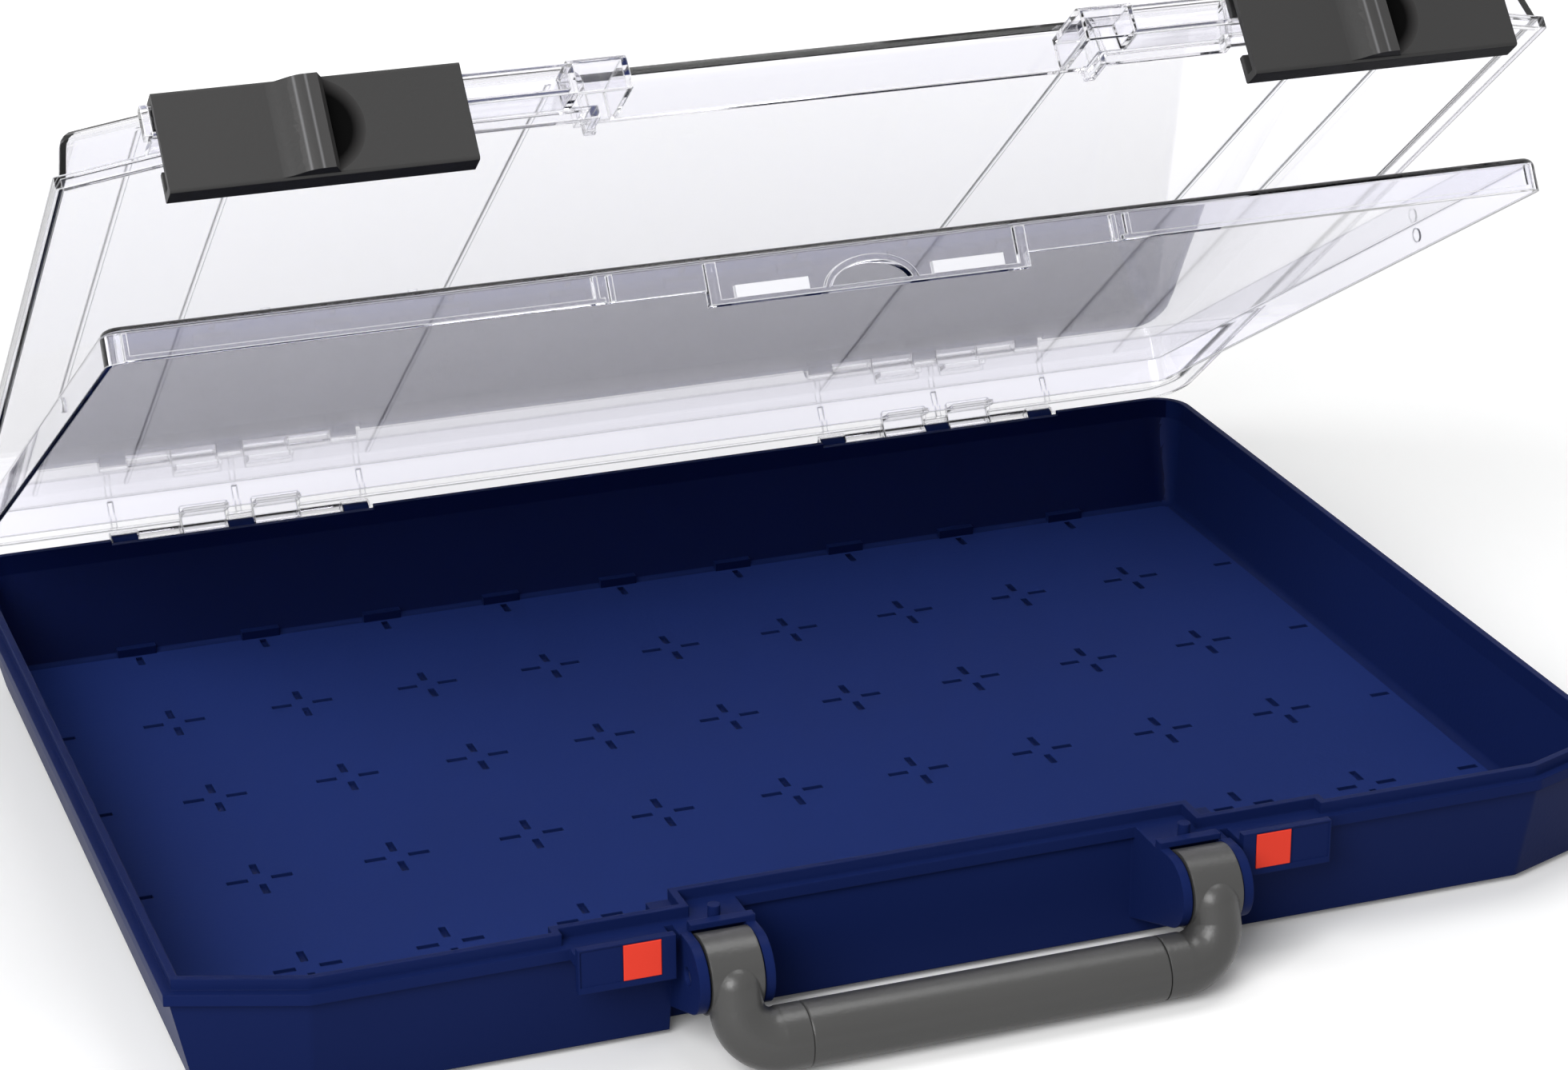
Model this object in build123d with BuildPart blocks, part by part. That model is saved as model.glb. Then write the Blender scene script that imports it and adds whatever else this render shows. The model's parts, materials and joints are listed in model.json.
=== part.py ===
"""Flat carry case: blue tray, two clear lids on one hinge line, sliding latches and a folding handle.

Millimetres.  +X is to the right, +Y towards the hinge, +Z up.  The origin is under the middle of the tray,
on the plane that the case stands on.  The lids are drawn closed and then turned to their open pose.
"""
from build123d import *
from math import cos, hypot, radians, sin
import os

# ---- Joining and cutting
overlap = 0.5                # how far joined shapes run into each other
overcut = 1.0                # how far cuts run past the faces that they open

# ---- Plan of the case, at its rim
case_width = 413.0
case_depth = 304.0
corner_cut_x = 34.0          # slanted front corners: length along the front
corner_cut_y = 12.5          # and along the side
rear_corner_radius = 14.0
front_corner_radius = 4.0
step_half_width = 104.0      # the rim steps back behind the latch rails
step_depth = 3.5
recess_half_width = 69.0     # and again at the handle
recess_depth = 12.7
pocket_half_width = 75.0     # the tray's wall leaves more room there, for the ears

# ---- Tray
foot_height = 1.5            # how far the plinth raises the tray
plinth_width = 350.0
plinth_depth = 236.0
plinth_corner_radius = 14.0
plinth_chamfer = 0.4
floor_thickness = 2.5
tray_wall = 2.2
tray_draft = 8.0             # how far the foot of the wall stands in from the rim
rear_draft = 15.4            # and at the back
rear_thinning = 0.4          # the rear wall is this much thinner at its foot
tray_wall_height = 29.5
flange_thickness = 3.2
flange_step = 1.6            # flange beyond the wall under it
lip_height = 3.1
lip_thickness = 2.0
hinge_lip_drop = 1.3         # the lip is lower along the hinges
inside_fillet = 2.5

# ---- Divider sockets in the floor
cell_x = 39.25
cell_y = 54.5
cells_x = 10
cells_y = 5
cell_middle_y = -1.0
socket_length = 6.0
socket_width = 2.0
socket_reach = 6.3           # middle of a slot from the middle of its cross
socket_depth = 1.0
cleat_width = 12.0
cleat_height = 2.6
cleat_depth = 2.0
cleat_root = 2.0             # how far a cleat runs into the wall

# ---- Lids
lid_gap = 0.4                # between the lid's wall and the tray's lip
lid_lift = 0.3               # between the lid's rim and the tray's flange
lid_wall = 2.1
lid_rim_height = 3.5
lid_height = 18.0            # rim to top
lid_draft = 2.9
lid_top_fillet = 6.0
lid_rib_width = 1.2
lid_rib_height = 0.6
lid_rib_offsets = (76.6, 153.6, 182.0)
lid_rib_margin = 14.0
round_steps = 5              # facets of the rounding along the top
centre_rim_lift = 3.7        # the rim is cut away this much in front of the handle
centre_gap_margin = 1.0      # and this much short of the recess's sides
centre_rounding = 0.25       # share of the top rounding in front of the handle
rear_rib_offsets = (78.4, 118.6, 158.0)
rear_rib_width = 1.6
rear_rib_depth = 1.2
inner_half_width = 199.8
inner_front = 129.0          # front edge of the inner lid, ahead of the origin
inner_rear_gap = 7.4         # behind the inner lid, inside the rim line
inner_height = 9.5
inner_wall = 1.8
inner_top_gap = 1.4          # under the outer lid's top
inner_top_fillet = 2.5
inner_corner_radius = 5.0
bracket_half_width = 43.0    # snap bracket that hangs from the inner lid's front edge
bracket_drop = 4.2
bracket_post_width = 3.0
front_relief = 1.6           # posts, borders and tabs stand this proud of the front
border_width = 1.3
corner_post_inset = 5.0
outer_post_offset = 72.0
outer_post_gap = 4.0         # between the two posts of each outer pair
tab_centre = 27.3
tab_width = 20.0
tab_height = 4.6
finger_arch_width = 22.8
finger_arch_height = 6.8     # above the bracket's lower edge
arch_border_width = 1.8
gate_offsets = (120.0, 158.0)
gate_radius = 1.3
gate_height = 0.6
snap_nub_radius = 2.0
snap_nub_height = 0.7
snap_nub_y = -52.0
arm_top = 41.0               # arms from the inner lid to its knuckles
arm_thickness = 1.6
arm_back_gap = 0.8           # their rear face ahead of the hinge's axis
arm_window_margin = 0.6      # room round them in the outer lid
arm_window_depth = 9.0
outer_open_angle = 39.8
inner_open_angle = 30.3

# ---- Hinges: one pin each side, knuckles of the three pieces in turn along it
hinge_behind = 1.0           # axis behind the rim
hinge_below = 0.7            # axis under the top of the flange
knuckle_radius = 3.4
hinge_pin_radius = 1.25
hinge_pin_short = 0.3        # its ends inside the outermost knuckles
hinge_pin_chamfer = 0.3
running_clearance = 0.05
fixed_clearance = 0.02
swing_clearance = 0.5
hinge_start = 77.0
knuckle_gap = 0.4
knuckle_root_depth = 3.0     # webs behind the tray's knuckles
knuckle_root_drop = 9.0
knuckle_relief = 5.0         # cleared round the outer lid's knuckles, inside its wall
hinge_relief_depth = 3.0
tray_knuckle = 8.0
outer_knuckle = 13.6
inner_knuckle = 14.2
knuckle_order = ("tray", "outer", "inner", "tray", "inner", "outer", "tray")
knuckle_length = {"tray": tray_knuckle, "outer": outer_knuckle, "inner": inner_knuckle}

# ---- Latch rails, latches and lock marks
rail_reach = 6.5             # front of the rails ahead of the rim
rail_thickness = 2.4
web_reach = 24.0             # webs of the rails, before the rim trims them
rail_web = 2.0
rail_clearance = 0.4
tray_rail_low = 24.2
tray_rail_gap = 0.9          # between the tray's rail and the lid's
tray_rail_start = 79.2
tray_rail_end = 105.2
lid_rail_lift = 3.1          # underside of the lid's rail above the lid's rim
lid_rail_height = 8.2
lid_rail_end = 184.2
rail_stop_width = 2.0
rail_stop_reach = 1.2
cover_start = 62.0           # block of the lid over the handle's bridge
cover_end = 77.6
cover_height = 9.6
cover_wall = 1.4
cover_rounding = 2.0
latch_start = 105.8          # inner end of the latch, unlocked
latch_length = 77.4
latch_plate = 2.2
latch_lip = 2.0
latch_edge_radius = 0.9
latch_upper_return = 5.8
latch_lower_return = 5.7
ridge_share = 0.505          # middle of the thumb ridge along the latch
ridge_run = 12.4             # its slow rise on one side
ridge_crest = 1.5            # half the width of its crest
ridge_height = 3.6
ridge_end_margin = 0.6
ridge_root = 0.1             # where its rise starts, inside the plate
scoop_offset = 4.2           # where the scoop starts beside the ridge
scoop_centre = 5.5           # middle of the scoop's circle, back from there
scoop_radius = 13.0
scoop_depth = 1.6
mark_width = 10.3
mark_height = 10.2
mark_top_margin = 0.4
mark_depth = 1.4
mark_offset = 88.2
mark_clearance = 0.1
mark_proud = 0.25
mark_edge_radius = 0.2
panel_width = 11.0
panel_depth = 0.3
panel_margin = 0.6

# ---- Handle
arm_offset = 66.7            # middle of each arm from the middle of the case
arm_width = 13.9
arm_side_clearance = 0.5
inner_ear = 2.6
outer_ear = 2.8
ear_radius = 9.8
ear_foot = 6.0
ear_root = 0.4               # of the ear's plate, inside the tray's wall
pivot_front = 8.5            # pivot ahead of the rim
pivot_height = 25.3
barrel_radius = 10.5
pivot_pin_radius = 2.5
pivot_pin_recess = 1.0       # how far its ends lie inside the ears
pivot_pin_chamfer = 0.4
bridge_thickness = 3.2
bridge_clearance = 0.7
bridge_reach = 3.0           # front of the bridge ahead of the rim
bridge_bar = 3.0
bridge_bar_thickness = 2.4
peg_radius = 1.7
peg_height = 4.4
peg_offset = 66.0
peg_setback = 5.5
arm_radius = 6.95
arm_start_reach = 6.7        # where the arm leaves the barrel, from the pivot
arm_start_drop = 13.0        # degrees under the level
grip_reach = 19.4            # middle of the grip from the pivot
grip_drop = 57.2             # degrees under the level, as it hangs
bend_radius = 10.5
bend_steps = 6
grip_radius = 8.6
grip_bar_radius = 5.8
grip_half_length = 49.7
grip_end_gap = 0.1
grip_edge_radius = 0.6

# ---- Levels and lines that follow
front = -case_depth / 2
back = case_depth / 2
floor_top = foot_height + floor_thickness
flange_bottom = foot_height + tray_wall_height
flange_top = flange_bottom + flange_thickness
lip_top = flange_top + lip_height
lid_inner_inset = lid_wall
lip_outer_inset = lid_inner_inset + lid_gap
lip_inner_inset = lip_outer_inset + lip_thickness
lid_bottom = flange_top + lid_lift
lid_shoulder = lid_bottom + lid_rim_height
lid_top = lid_bottom + lid_height
lid_under = lid_top - lid_wall
hinge_y = back + hinge_behind
hinge_z = flange_top - hinge_below
hinge_axis = Axis((0, hinge_y, hinge_z), (1, 0, 0))
step_front = front + step_depth
recess_front = front + recess_depth
recess_wall = recess_front + flange_step
rail_front = front - rail_reach
rail_back = rail_front + rail_thickness
inner_top = lid_under - inner_top_gap
inner_bottom = inner_top - inner_height
inner_rear = back - inner_rear_gap
bracket_bottom = inner_bottom - bracket_drop
ear_outer_face = arm_offset + arm_width / 2 + arm_side_clearance
ear_inner_face = arm_offset - arm_width / 2 - arm_side_clearance
pivot_y = front - pivot_front
grip_y = pivot_y - grip_reach * cos(radians(grip_drop))
grip_z = pivot_height - grip_reach * sin(radians(grip_drop))
bridge_front = front - bridge_reach
peg_y = bridge_front + peg_setback
lid_rail_low = lid_bottom + lid_rail_lift
tray_rail_top = lid_rail_low - tray_rail_gap
mark_level = tray_rail_top - mark_top_margin - mark_height / 2
latch_outer = rail_front - rail_clearance - latch_plate
latch_inner = rail_back + rail_clearance + latch_lip
latch_top = lid_rail_low + lid_rail_height + rail_clearance + latch_lip
latch_bottom = tray_rail_low - rail_clearance - latch_lip
pivot_pin_ends = (
    ear_inner_face - inner_ear + pivot_pin_recess,
    ear_outer_face + outer_ear - pivot_pin_recess,
)
arm_back = hinge_y - arm_back_gap


def plan_points(inset, rear_inset, recess_inset, recess_half, step):
    """Right-hand corners of the plan from the front to the back, inset from the rim."""
    half = case_width / 2
    run = corner_cut_x / hypot(corner_cut_x, corner_cut_y)
    rise = corner_cut_y / hypot(corner_cut_x, corner_cut_y)
    cut_start = half - corner_cut_x - inset * rise + inset * (1 - run) * corner_cut_x / corner_cut_y
    cut_end = front + corner_cut_y + inset * run - inset * (1 - rise) * corner_cut_y / corner_cut_x
    recess_x = recess_half + recess_inset
    points = [(recess_x, recess_front + recess_inset), (recess_x, front + step + inset)]
    if step > 0:
        points.append((step_half_width + inset, front + step + inset))
        points.append((step_half_width + inset, front + inset))
    return points + [
        (cut_start, front + inset),
        (half - inset, cut_end),
        (half - inset, back - rear_inset),
    ]


def plan(height, inset, rear_inset=None, recess_inset=None, recess_half=recess_half_width, step=step_depth):
    """Outline of the case at a height, inset from the rim."""
    rear_inset = inset if rear_inset is None else rear_inset
    recess_inset = inset if recess_inset is None else recess_inset
    right = plan_points(inset, rear_inset, recess_inset, recess_half, step)
    left = [(-x, y) for x, y in reversed(right)]
    with BuildSketch(Plane.XY.offset(height)) as outline:
        with BuildLine():
            Polyline(*right, *left, close=True)
        make_face()
        fillet(outline.vertices().group_by(Axis.Y)[-1], rear_corner_radius - inset)
        corner_x = right[-3][0]
        fillet([v for v in outline.vertices() if abs(abs(v.X) - corner_x) < 0.001], front_corner_radius)
    return outline.sketch


def straight(low, high, inset, recess_half=recess_half_width):
    """Upright block with the outline of the case."""
    with BuildPart() as block:
        add(plan(low, inset, recess_half=recess_half))
        extrude(amount=high - low)
    return block.part


def tapered(low, low_inset, low_rear, high, high_inset, recess_inset, step):
    """Block whose outline widens or narrows from one height to another, with room for the ears."""
    with BuildPart() as block:
        loft(
            [
                plan(low, low_inset, low_rear, recess_inset, pocket_half_width, step),
                plan(high, high_inset, None, recess_inset, pocket_half_width, step),
            ],
            ruled=True,
        )
    return block.part


def domed(low, low_inset, high, high_inset, recess_inset, radius):
    """Tapered block with its top edge rounded."""
    sections = [plan(low, low_inset, None, recess_inset)]
    for step in range(round_steps + 1):
        turn = radians(90 * step / round_steps)
        height = high - radius * (1 - sin(turn))
        slope_inset = low_inset + (high_inset - low_inset) * (height - low) / (high - low)
        extra = radius * (1 - cos(turn))
        sections.append(plan(height, slope_inset + extra, None, recess_inset + centre_rounding * extra))
    with BuildPart() as block:
        loft(sections, ruled=True)
    return block.part


def upright(low, high, x_range, y_range):
    """Plain block between two heights."""
    with BuildPart() as block:
        with Locations(((x_range[0] + x_range[1]) / 2, (y_range[0] + y_range[1]) / 2, low)):
            Box(
                x_range[1] - x_range[0],
                y_range[1] - y_range[0],
                high - low,
                align=(Align.CENTER, Align.CENTER, Align.MIN),
            )
    return block.part


def rod(radius, start, end, y, z):
    """Round bar along X."""
    with BuildPart() as bar:
        with BuildSketch(Plane.YZ.offset(start)):
            with Locations((y, z)):
                Circle(radius)
        extrude(amount=end - start)
    return bar.part


# ---- Hinges

def knuckle_spans():
    """Start, end and owner of each knuckle on the right-hand hinge, outwards."""
    spans = []
    start = hinge_start
    for owner in knuckle_order:
        end = start + knuckle_length[owner]
        spans.append((start, end, owner))
        start = end + knuckle_gap
    return spans


hinge_end = knuckle_spans()[-1][1]


def owned_spans(owner):
    """The knuckles of one piece, on both hinges."""
    right = [(start, end) for start, end, name in knuckle_spans() if name == owner]
    return right + [(-end, -start) for start, end in right]


def knuckles(owner):
    """Knuckles of one piece."""
    with BuildPart() as row:
        for start, end in owned_spans(owner):
            add(rod(knuckle_radius, start, end, hinge_y, hinge_z))
    return row.part


def hinge_bores(owner, bore_clearance):
    """Holes for the pins through the knuckles of one piece."""
    with BuildPart() as row:
        for start, end in owned_spans(owner):
            add(rod(hinge_pin_radius + bore_clearance, start - overcut, end + overcut, hinge_y, hinge_z))
    return row.part


def swing_space(owners):
    """Room round the knuckles of the other pieces."""
    with BuildPart() as room:
        for owner in owners:
            for start, end in owned_spans(owner):
                add(rod(
                    knuckle_radius + swing_clearance,
                    start - knuckle_gap,
                    end + knuckle_gap,
                    hinge_y,
                    hinge_z,
                ))
    return room.part


# ---- Tray

def divider_sockets():
    """Cross-shaped sockets in the floor, and the single slots along the walls."""
    columns = [(i - (cells_x - 2) / 2) * cell_x for i in range(cells_x - 1)]
    rows = [cell_middle_y + (j - (cells_y - 2) / 2) * cell_y for j in range(cells_y - 1)]
    crossings = [(x, y) for x in columns for y in rows]
    side_x = columns[-1] + cell_x
    rear_y = rows[-1] + cell_y
    across = [(x + d, y) for x, y in crossings for d in (-socket_reach, socket_reach)]
    across += [(s * (side_x - socket_reach), y) for s in (-1, 1) for y in rows]
    along = [(x, y + d) for x, y in crossings for d in (-socket_reach, socket_reach)]
    along += [(x, rear_y - socket_reach) for x in columns]
    with BuildPart() as pockets:
        with BuildSketch(Plane.XY.offset(floor_top)):
            with Locations(*across):
                Rectangle(socket_length, socket_width)
            with Locations(*along):
                Rectangle(socket_width, socket_length)
        extrude(amount=-socket_depth)
    return pockets.part


def wall_cleats():
    """Low blocks at the foot of the rear wall, one at each column of sockets."""
    rear_y = cell_middle_y + cells_y / 2 * cell_y
    with BuildPart() as blocks:
        for i in range(cells_x - 1):
            middle = (i - (cells_x - 2) / 2) * cell_x
            add(upright(
                floor_top - overlap,
                floor_top + cleat_height,
                (middle - cleat_width / 2, middle + cleat_width / 2),
                (rear_y - cleat_depth, rear_y + cleat_root),
            ))
    return blocks.part


def ear(face, thickness):
    """One upright plate that carries the handle's pin."""
    wall_y = recess_wall + tray_wall / 2
    with BuildPart() as plate:
        with BuildSketch(Plane.YZ.offset(face)):
            with Locations((pivot_y, pivot_height)):
                Circle(ear_radius)
            with Locations((wall_y, (ear_foot + flange_top) / 2)):
                Rectangle(ear_root, flange_top - ear_foot)
            make_hull()
            with Locations((wall_y, flange_top)):
                Rectangle(
                    2 * (wall_y - bridge_front),
                    ear_radius,
                    align=(Align.CENTER, Align.MIN),
                    mode=Mode.SUBTRACT,
                )
        extrude(amount=thickness)
    return plate.part


def bridge():
    """Plate and bar over the handle's barrel, between the two ears of the right side."""
    with BuildPart() as plate:
        add(upright(
            flange_top - bridge_thickness,
            flange_top,
            (ear_inner_face - inner_ear / 2, ear_outer_face + outer_ear / 2),
            (bridge_front, recess_wall),
        ))
        add(upright(
            flange_top - overlap,
            flange_top + bridge_bar_thickness,
            (ear_inner_face - inner_ear, ear_outer_face),
            (bridge_front, bridge_front + bridge_bar),
        ))
        with Locations((peg_offset, peg_y, flange_top - overlap)):
            Cylinder(peg_radius, peg_height + overlap, align=(Align.CENTER, Align.CENTER, Align.MIN))
        add(
            rod(barrel_radius + bridge_clearance, ear_inner_face, ear_outer_face, pivot_y, pivot_height),
            mode=Mode.SUBTRACT,
        )
    return plate.part


def rail_window(low, high, start, end, depth):
    """Room sunk into the front of the tray's rail."""
    return upright(low, high, (start, end), (rail_front - overcut, rail_front + depth))


def tray_rail():
    """Lower half of the right-hand latch rail, with the pocket of its lock mark and a plain panel."""
    low = mark_level - mark_height / 2
    high = mark_level + mark_height / 2
    with BuildPart() as rail:
        with BuildSketch(Plane.XY.offset(flange_bottom)):
            with Locations(((tray_rail_start + tray_rail_end) / 2, rail_front)):
                Rectangle(tray_rail_end - tray_rail_start, web_reach, align=(Align.CENTER, Align.MIN))
            add(plan(0, lip_inner_inset - overlap), mode=Mode.SUBTRACT)
        extrude(amount=flange_thickness)
        add(upright(tray_rail_low, tray_rail_top, (tray_rail_start, tray_rail_end), (rail_front, rail_back)))
        add(
            rail_window(low, high, mark_offset - mark_width / 2, mark_offset + mark_width / 2, mark_depth),
            mode=Mode.SUBTRACT,
        )
        panel_end = tray_rail_end - panel_margin
        add(rail_window(low, high, panel_end - panel_width, panel_end, panel_depth), mode=Mode.SUBTRACT)
    return rail.part


def tray_right_details():
    """Everything on the right-hand half that the left-hand half mirrors."""
    with BuildPart() as details:
        add(ear(ear_inner_face - inner_ear, inner_ear))
        add(ear(ear_outer_face, outer_ear))
        add(bridge())
        add(tray_rail())
    return details.part


def plinth():
    """Low raised pad under the tray, which the case rests on."""
    with BuildPart() as pad:
        with BuildSketch():
            RectangleRounded(plinth_width, plinth_depth, plinth_corner_radius)
        extrude(amount=foot_height + overlap)
        chamfer(pad.faces().sort_by(Axis.Z)[0].edges(), plinth_chamfer)
    return pad.part


def tray_hollow():
    """Room inside the tray."""
    with BuildPart() as hollow:
        add(tapered(
            floor_top,
            tray_draft + tray_wall,
            rear_draft + tray_wall - rear_thinning,
            flange_bottom,
            lip_inner_inset,
            lip_inner_inset,
            step_depth,
        ))
        fillet(hollow.faces().sort_by(Axis.Z)[0].edges(), inside_fillet)
        add(straight(flange_bottom, flange_top, lip_inner_inset, pocket_half_width))
        add(straight(flange_top, lip_top + overcut, lip_inner_inset))
    return hollow.part


def tray_knuckle_roots():
    """Webs between the tray's knuckles and its rear wall."""
    with BuildPart() as roots:
        for start, end in owned_spans("tray"):
            with BuildSketch(Plane.YZ.offset(start)):
                with BuildLine():
                    Polyline(
                        (back - knuckle_root_depth, flange_top),
                        (hinge_y, flange_top),
                        (hinge_y + knuckle_radius, hinge_z),
                        (hinge_y, hinge_z - knuckle_radius),
                        (back - knuckle_root_depth, flange_bottom - knuckle_root_drop),
                        close=True,
                    )
                make_face()
            extrude(amount=end - start)
    return roots.part


def hinge_relief():
    """Lower lip along the hinges."""
    with BuildPart() as relief:
        for side in (-1, 1):
            ends = sorted((side * (hinge_start - overcut), side * (hinge_end + overcut)))
            add(upright(
                lip_top - hinge_lip_drop,
                lip_top + overcut,
                ends,
                (back - lip_inner_inset - hinge_relief_depth, back),
            ))
    return relief.part


with BuildPart() as base_tray:
    add(tapered(foot_height, tray_draft, rear_draft, flange_bottom, flange_step, flange_step, 0))
    add(plinth())
    add(straight(flange_bottom, flange_top, 0))
    add(straight(flange_top - overlap, lip_top, lip_outer_inset))
    add(tray_right_details())
    add(mirror(tray_right_details(), about=Plane.YZ, mode=Mode.PRIVATE))
    add(tray_hollow(), mode=Mode.SUBTRACT)
    add(hinge_relief(), mode=Mode.SUBTRACT)
    add(swing_space(("outer", "inner")), mode=Mode.SUBTRACT)
    add(tray_knuckle_roots())
    add(knuckles("tray"))
    add(tray_hollow(), mode=Mode.SUBTRACT)
    add(hinge_bores("tray", fixed_clearance), mode=Mode.SUBTRACT)
    add(wall_cleats())
    add(divider_sockets(), mode=Mode.SUBTRACT)
    for side in (-1, 1):
        ends = sorted((
            side * (pivot_pin_ends[0] - fixed_clearance),
            side * (ear_outer_face + 1.5 * outer_ear),
        ))
        add(
            rod(pivot_pin_radius + fixed_clearance, ends[0], ends[1], pivot_y, pivot_height),
            mode=Mode.SUBTRACT,
        )


# ---- Lock marks and pins

def lock_mark(side):
    """Coloured square that shows when the latch is open."""
    half_width = mark_width / 2 - mark_clearance
    half_height = mark_height / 2 - mark_clearance
    middle = side * mark_offset
    with BuildPart() as square:
        add(upright(
            mark_level - half_height,
            mark_level + half_height,
            (middle - half_width, middle + half_width),
            (rail_front - mark_proud, rail_front + mark_depth),
        ))
        fillet(square.faces().sort_by(Axis.Y)[0].edges(), mark_edge_radius)
    return square.part


with BuildPart() as lock_indicator_left:
    add(lock_mark(-1))

with BuildPart() as lock_indicator_right:
    add(lock_mark(1))


def hinge_pin(side):
    """Pin through all the knuckles on one side."""
    ends = sorted((side * (hinge_start + hinge_pin_short), side * (hinge_end - hinge_pin_short)))
    with BuildPart() as pin:
        add(rod(hinge_pin_radius, ends[0], ends[1], hinge_y, hinge_z))
        chamfer(pin.edges().filter_by(GeomType.CIRCLE), hinge_pin_chamfer)
    return pin.part


with BuildPart() as hinge_pin_left:
    add(hinge_pin(-1))

with BuildPart() as hinge_pin_right:
    add(hinge_pin(1))


def handle_pin(side):
    """Pin through one barrel of the handle and its two ears."""
    ends = sorted((side * pivot_pin_ends[0], side * pivot_pin_ends[1]))
    with BuildPart() as pin:
        add(rod(pivot_pin_radius, ends[0], ends[1], pivot_y, pivot_height))
        chamfer(pin.edges().filter_by(GeomType.CIRCLE), pivot_pin_chamfer)
    return pin.part


with BuildPart() as handle_pin_left:
    add(handle_pin(-1))

with BuildPart() as handle_pin_right:
    add(handle_pin(1))


# ---- Handle

def handle_half():
    """Right-hand barrel, arm and bend."""
    start_y = pivot_y - arm_start_reach * cos(radians(arm_start_drop))
    start_z = pivot_height - arm_start_reach * sin(radians(arm_start_drop))
    drop = hypot(start_y - grip_y, start_z - grip_z)
    arm_plane = Plane(
        origin=(0, start_y, start_z),
        x_dir=(1, 0, 0),
        z_dir=(0, -(start_z - grip_z) / drop, (start_y - grip_y) / drop),
    )
    bend_x = arm_offset - bend_radius
    with BuildPart() as half:
        barrel = (arm_offset - arm_width / 2, arm_offset + arm_width / 2)
        add(rod(barrel_radius, *barrel, pivot_y, pivot_height))
        with Locations((arm_offset, start_y, start_z)):
            Sphere(arm_radius)
        with BuildLine(arm_plane) as shank:
            Line((arm_offset, 0), (arm_offset, bend_radius - drop))
        with BuildSketch(Plane(origin=shank.line @ 0, z_dir=shank.line % 0)):
            Circle(arm_radius)
        sweep(path=shank.line)
        with BuildLine(arm_plane) as bend:
            CenterArc((bend_x, bend_radius - drop), bend_radius, 0, -90)
        for step in range(bend_steps + 1):
            share = step / bend_steps
            point, way = bend.line @ share, bend.line % share
            with BuildSketch(Plane(origin=point, x_dir=arm_plane.z_dir, z_dir=way)):
                Circle(arm_radius + share * (grip_radius - arm_radius))
        loft()
        add(rod(grip_radius, grip_half_length + grip_end_gap, bend_x, grip_y, grip_z))
        add(rod(grip_bar_radius, 0, grip_half_length + overcut, grip_y, grip_z))
    return half.part


with BuildPart() as handle_core:
    add(handle_half())
    add(mirror(handle_half(), about=Plane.YZ, mode=Mode.PRIVATE))
    for side in (-1, 1):
        ends = sorted((side * (arm_offset - arm_width), side * (arm_offset + arm_width)))
        add(
            rod(pivot_pin_radius + running_clearance, ends[0], ends[1], pivot_y, pivot_height),
            mode=Mode.SUBTRACT,
        )

with BuildPart() as handle_grip:
    add(rod(grip_radius, -grip_half_length, grip_half_length, grip_y, grip_z))
    fillet(handle_grip.edges().filter_by(GeomType.CIRCLE), grip_edge_radius)
    add(
        rod(
            grip_bar_radius + fixed_clearance,
            -grip_half_length - overcut,
            grip_half_length + overcut,
            grip_y,
            grip_z,
        ),
        mode=Mode.SUBTRACT,
    )


# ---- Outer lid, drawn closed

def outer_lid_skin():
    """Rim, walls and top of the outer lid, solid."""
    with BuildPart() as skin:
        add(domed(lid_shoulder, flange_step, lid_top, flange_step + lid_draft, flange_step, lid_top_fillet))
        add(straight(lid_bottom, lid_shoulder, 0))
    return skin.part


def outer_lid_hollow():
    """Room inside the outer lid."""
    slope = lid_draft / (lid_top - lid_shoulder)
    low = lip_top + lid_gap
    low_inset = flange_step + lid_wall
    with BuildPart() as hollow:
        add(domed(
            low,
            low_inset,
            lid_under,
            low_inset + slope * (lid_under - low),
            low_inset,
            lid_top_fillet - lid_wall,
        ))
        add(straight(lid_bottom - overcut, low, lid_inner_inset))
    return hollow.part


def lid_ribs():
    """Low ribs under the top of the outer lid, front to back, and short ones behind the rear wall."""
    wall_top = back - flange_step - lid_draft
    with BuildPart() as ribs:
        for side in (-1, 1):
            for offset_x in lid_rib_offsets:
                middle = side * offset_x
                add(upright(
                    lid_under - lid_rib_height,
                    lid_under + overlap,
                    (middle - lid_rib_width / 2, middle + lid_rib_width / 2),
                    (step_front + lid_rib_margin, back - lid_rib_margin),
                ))
            for offset_x in rear_rib_offsets:
                middle = side * offset_x
                add(upright(
                    lid_shoulder - overlap,
                    lid_top - lid_top_fillet,
                    (middle - rear_rib_width / 2, middle + rear_rib_width / 2),
                    (wall_top, wall_top + 2 * overlap + rear_rib_depth),
                ))
    return ribs.part


def centre_gap():
    """Cuts the rim away in front of the handle."""
    side = recess_half_width - centre_gap_margin
    return upright(
        lid_bottom - overcut,
        lid_bottom + centre_rim_lift,
        (-side, side),
        (recess_front - overcut, recess_wall + lid_wall + overcut),
    )


def lid_rail():
    """Upper half of the right-hand latch rail, with its end stop."""
    web_low = lid_rail_low
    start = cover_end - cover_wall
    with BuildPart() as rail:
        with BuildSketch(Plane.XY.offset(web_low)):
            with Locations(((start + lid_rail_end) / 2, rail_front)):
                Rectangle(lid_rail_end - start, web_reach, align=(Align.CENTER, Align.MIN))
            add(plan(0, lid_inner_inset), mode=Mode.SUBTRACT)
        extrude(amount=rail_web)
        add(upright(web_low, web_low + lid_rail_height, (start, lid_rail_end), (rail_front, rail_back)))
        add(upright(
            web_low,
            web_low + lid_rail_height,
            (lid_rail_end, lid_rail_end + rail_stop_width),
            (rail_front - rail_stop_reach, rail_back),
        ))
    return rail.part


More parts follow.
